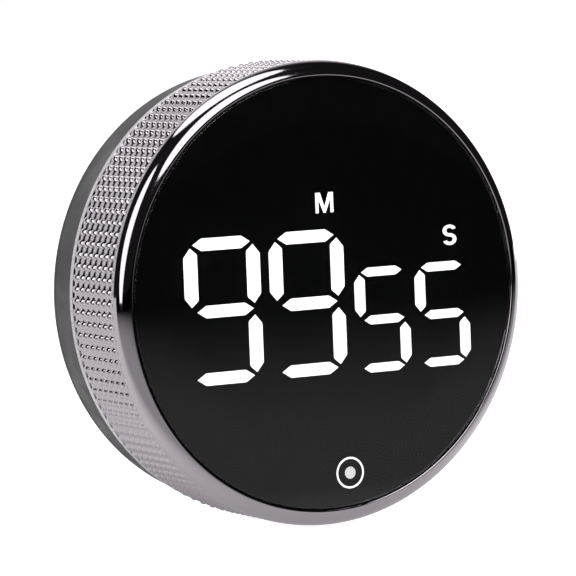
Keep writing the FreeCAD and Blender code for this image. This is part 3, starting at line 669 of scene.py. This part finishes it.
# Profile: flat front, quarter round at the edge, straight side, small chamfer and flat back.
def makeWindow(look):
    radius = lensRadius
    back = filmLow[1] + look["backing"]
    centre = (radius - look["bevel"], frontY + look["bevel"])
    corner = arcPoints(centre, look["bevel"], 270.0, 360.0, look["bevelSamples"])
    rings = np.array([[radius * share, frontY] for share in look["frontRings"]])
    side = np.array([[radius, back - look["backEdge"]], [radius - look["backEdge"], back],
                     [radius * look["backRing"], back], [0.0, back]])
    profile = np.concatenate((rings, corner, side))
    piece = turnedDisc("window_lens", profile, look["samples"], materials["clearAcrylic"])
    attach(piece, "lens_panel")
    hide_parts("front_lens")
    print("window: radius", round(radius, 2), "mm")


makeWindow(window)


# Floor, lights and camera.

studio = {
    "floorRadius": 12.0,       # metres, as are the distances below
    "floorSides": 96,
    "floorGap": 0.0004,
    "floorRough": 0.9,
    "floorGlow": 0.9,          # as the camera sees it
    "floorShade": 0.6,
    # The table's glow as a reflection sees it is painted light: a painted contact shadow under the object
    # and a painted pool of light in front of it.
    "tableGlow": 0.92,         # as a reflection sees it
    "contactShade": (0.5, 1.2),      # the table's share of its glow, under the object and clear of it
    "contactReach": (0.015, 0.055),  # where that share starts and stops rising
    "tableShare": 0.56,        # the front of the table's share of its glow, close to the object
    "tableNear": 0.1,          # in front, the table fades to dark between these distances
    "tableFar": 0.5,
    "roomGlow": 0.015,         # in front of the object and above it
    "backdropGlow": 1.12,      # behind the object
    "backdropReach": (0.2, 0.55),    # y of a ray's direction where the room starts and stops brightening
    "panelDistance": 1.0,
    # Azimuth from -Y towards +X, elevation, width and height in degrees, and radiance.
    "panels": {
        "leftPanel": (-61.0, 21.0, 26.0, 52.0, 2.5),
        "frontPanel": (2.0, 37.0, 42.0, 33.0, 2.5),
        "topPanel": (-35.0, 82.0, 50.0, 34.0, 2.6),
        "rightPanel": (128.0, -2.0, 52.0, 84.0, 2.6),
    },
}


def direction(azimuth, elevation):
    a, e = math.radians(azimuth), math.radians(elevation)
    return Vector((math.sin(a) * math.cos(e), -math.cos(a) * math.cos(e), math.sin(e)))


# The floor is an even white to the camera. To everything else its glow is painted light: in front of the
# object, a painted pool of light that fades to nothing with distance.
# Behind the object, a painted contact shadow: dim under the object and full clear of it.
def makeFloor(look):
    bpy.ops.mesh.primitive_circle_add(
        vertices=look["floorSides"], radius=look["floorRadius"], fill_type="NGON",
        location=(0.0, 0.0, shellLow[2] * mm - look["floorGap"]))
    floor = bpy.context.object
    floor.name = "studioFloor"
    material = bpy.data.materials.new("paleFloor")
    material.use_nodes = True
    tree = material.node_tree
    shader = tree.nodes["Principled BSDF"]
    where = addNode(tree, "ShaderNodeTexCoord")
    reach = addNode(tree, "ShaderNodeVectorMath", {0: where.outputs["Object"]}, operation="LENGTH")
    # Painted pool of light: the glow in front is brightest near the object and fades with distance.
    fade = addNode(tree, "ShaderNodeMapRange", {
        "Value": reach.outputs["Value"], "From Min": look["tableNear"], "From Max": look["tableFar"],
        "To Min": look["tableShare"], "To Max": 0.0}, interpolation_type="SMOOTHSTEP")
    parts = addNode(tree, "ShaderNodeSeparateXYZ", {"Vector": where.outputs["Object"]})
    behind = addNode(tree, "ShaderNodeMapRange", {
        "Value": parts.outputs["Y"], "From Min": 2 * frontY * mm, "From Max": frontY * mm})
    # Painted contact shadow: the glow behind the object is dim under it and full clear of it.
    clear = addNode(tree, "ShaderNodeMapRange", {
        "Value": reach.outputs["Value"],
        "From Min": look["contactReach"][0], "From Max": look["contactReach"][1],
        "To Min": look["contactShade"][0], "To Max": look["contactShade"][1]})
    lit = addNode(tree, "ShaderNodeMix", {
        "Factor": behind.outputs["Result"], "A": fade.outputs["Result"], "B": clear.outputs["Result"]},
        data_type="FLOAT")
    seen = addNode(tree, "ShaderNodeLightPath")
    table = mathNode(tree, "MULTIPLY", lit.outputs["Result"], look["tableGlow"])
    glow = addNode(tree, "ShaderNodeMix", {
        "Factor": seen.outputs["Is Camera Ray"], "A": table, "B": look["floorGlow"]}, data_type="FLOAT")
    shade = mathNode(tree, "MULTIPLY", seen.outputs["Is Camera Ray"], look["floorShade"])
    tree.links.new(glow.outputs["Result"], shader.inputs["Emission Strength"])
    tree.links.new(shade, shader.inputs["Base Color"])
    setSockets(shader, {"Roughness": look["floorRough"], "Specular IOR Level": 0.0,
                        "Emission Color": (1.0, 1.0, 1.0, 1.0)})
    floor.data.materials.append(material)


# The room: white to the camera and behind the object, dark above the table in front of it.
def makeRoom(look):
    world = bpy.data.worlds.new("studioRoom")
    world.use_nodes = True
    tree = world.node_tree
    background = tree.nodes["Background"]
    where = addNode(tree, "ShaderNodeTexCoord")
    parts = addNode(tree, "ShaderNodeSeparateXYZ", {"Vector": where.outputs["Generated"]})
    rear = addNode(tree, "ShaderNodeMapRange", {
        "Value": parts.outputs["Y"],
        "From Min": look["backdropReach"][0], "From Max": look["backdropReach"][1],
        "To Min": look["roomGlow"], "To Max": look["backdropGlow"]}, interpolation_type="SMOOTHSTEP")
    seen = addNode(tree, "ShaderNodeLightPath")
    glow = addNode(tree, "ShaderNodeMix", {
        "Factor": seen.outputs["Is Camera Ray"], "A": rear.outputs["Result"], "B": 1.0}, data_type="FLOAT")
    tree.links.new(glow.outputs["Result"], background.inputs["Strength"])
    background.inputs["Color"].default_value = (1.0, 1.0, 1.0, 1.0)
    bpy.context.scene.world = world


# Each panel is an even ellipse that faces the object; its power is radiance x pi x area.
def makePanels(look):
    centre = (cadBox[0] + cadBox[1]) / 2
    for name, (azimuth, elevation, width, height, radiance) in look["panels"].items():
        lamp = bpy.data.lights.new(name, "AREA")
        lamp.shape = "ELLIPSE"
        lamp.size = 2 * look["panelDistance"] * math.tan(math.radians(width / 2))
        lamp.size_y = 2 * look["panelDistance"] * math.tan(math.radians(height / 2))
        lamp.energy = radiance * math.pi * lamp.size * lamp.size_y * math.pi / 4
        panel = bpy.data.objects.new(name, lamp)
        towards = direction(azimuth, elevation)
        panel.location = centre + towards * look["panelDistance"]
        panel.rotation_mode = "QUATERNION"
        panel.rotation_quaternion = towards.to_track_quat("Z", "Y")
        bpy.context.scene.collection.objects.link(panel)


shot = {
    "azimuth": -29.176,        # degrees, as are the next two
    "elevation": 4.599,
    "roll": -2.217,
    "distance": 0.6573,        # metres, as is the point aimed at
    "aim": (-0.00748, -0.029, 0.00151),
    "clipStart": 0.01,
    "lens": 247.65,            # millimetres, as is the sensor's width
    "sensor": 36.0,
}


def makeCamera(look):
    back = direction(look["azimuth"], look["elevation"])
    right = Vector((0.0, 0.0, 1.0)).cross(back).normalized()
    up = back.cross(right)
    turn = math.radians(look["roll"])
    rolledRight = right * math.cos(turn) + up * math.sin(turn)
    rolledUp = up * math.cos(turn) - right * math.sin(turn)
    camera = bpy.data.objects.new("camera", bpy.data.cameras.new("camera"))
    camera.data.lens = look["lens"]
    camera.data.sensor_width = look["sensor"]
    camera.data.clip_start = look["clipStart"]
    turned = Matrix((rolledRight, rolledUp, back)).transposed().to_4x4()
    camera.matrix_world = Matrix.Translation(Vector(look["aim"]) + back * look["distance"]) @ turned
    bpy.context.scene.collection.objects.link(camera)
    bpy.context.scene.camera = camera


makeFloor(studio)
makeRoom(studio)
makePanels(studio)
makeCamera(shot)
bpy.context.scene.view_settings.view_transform = "Standard"
print("studio: floor, room,", len(studio["panels"]), "panels and camera")
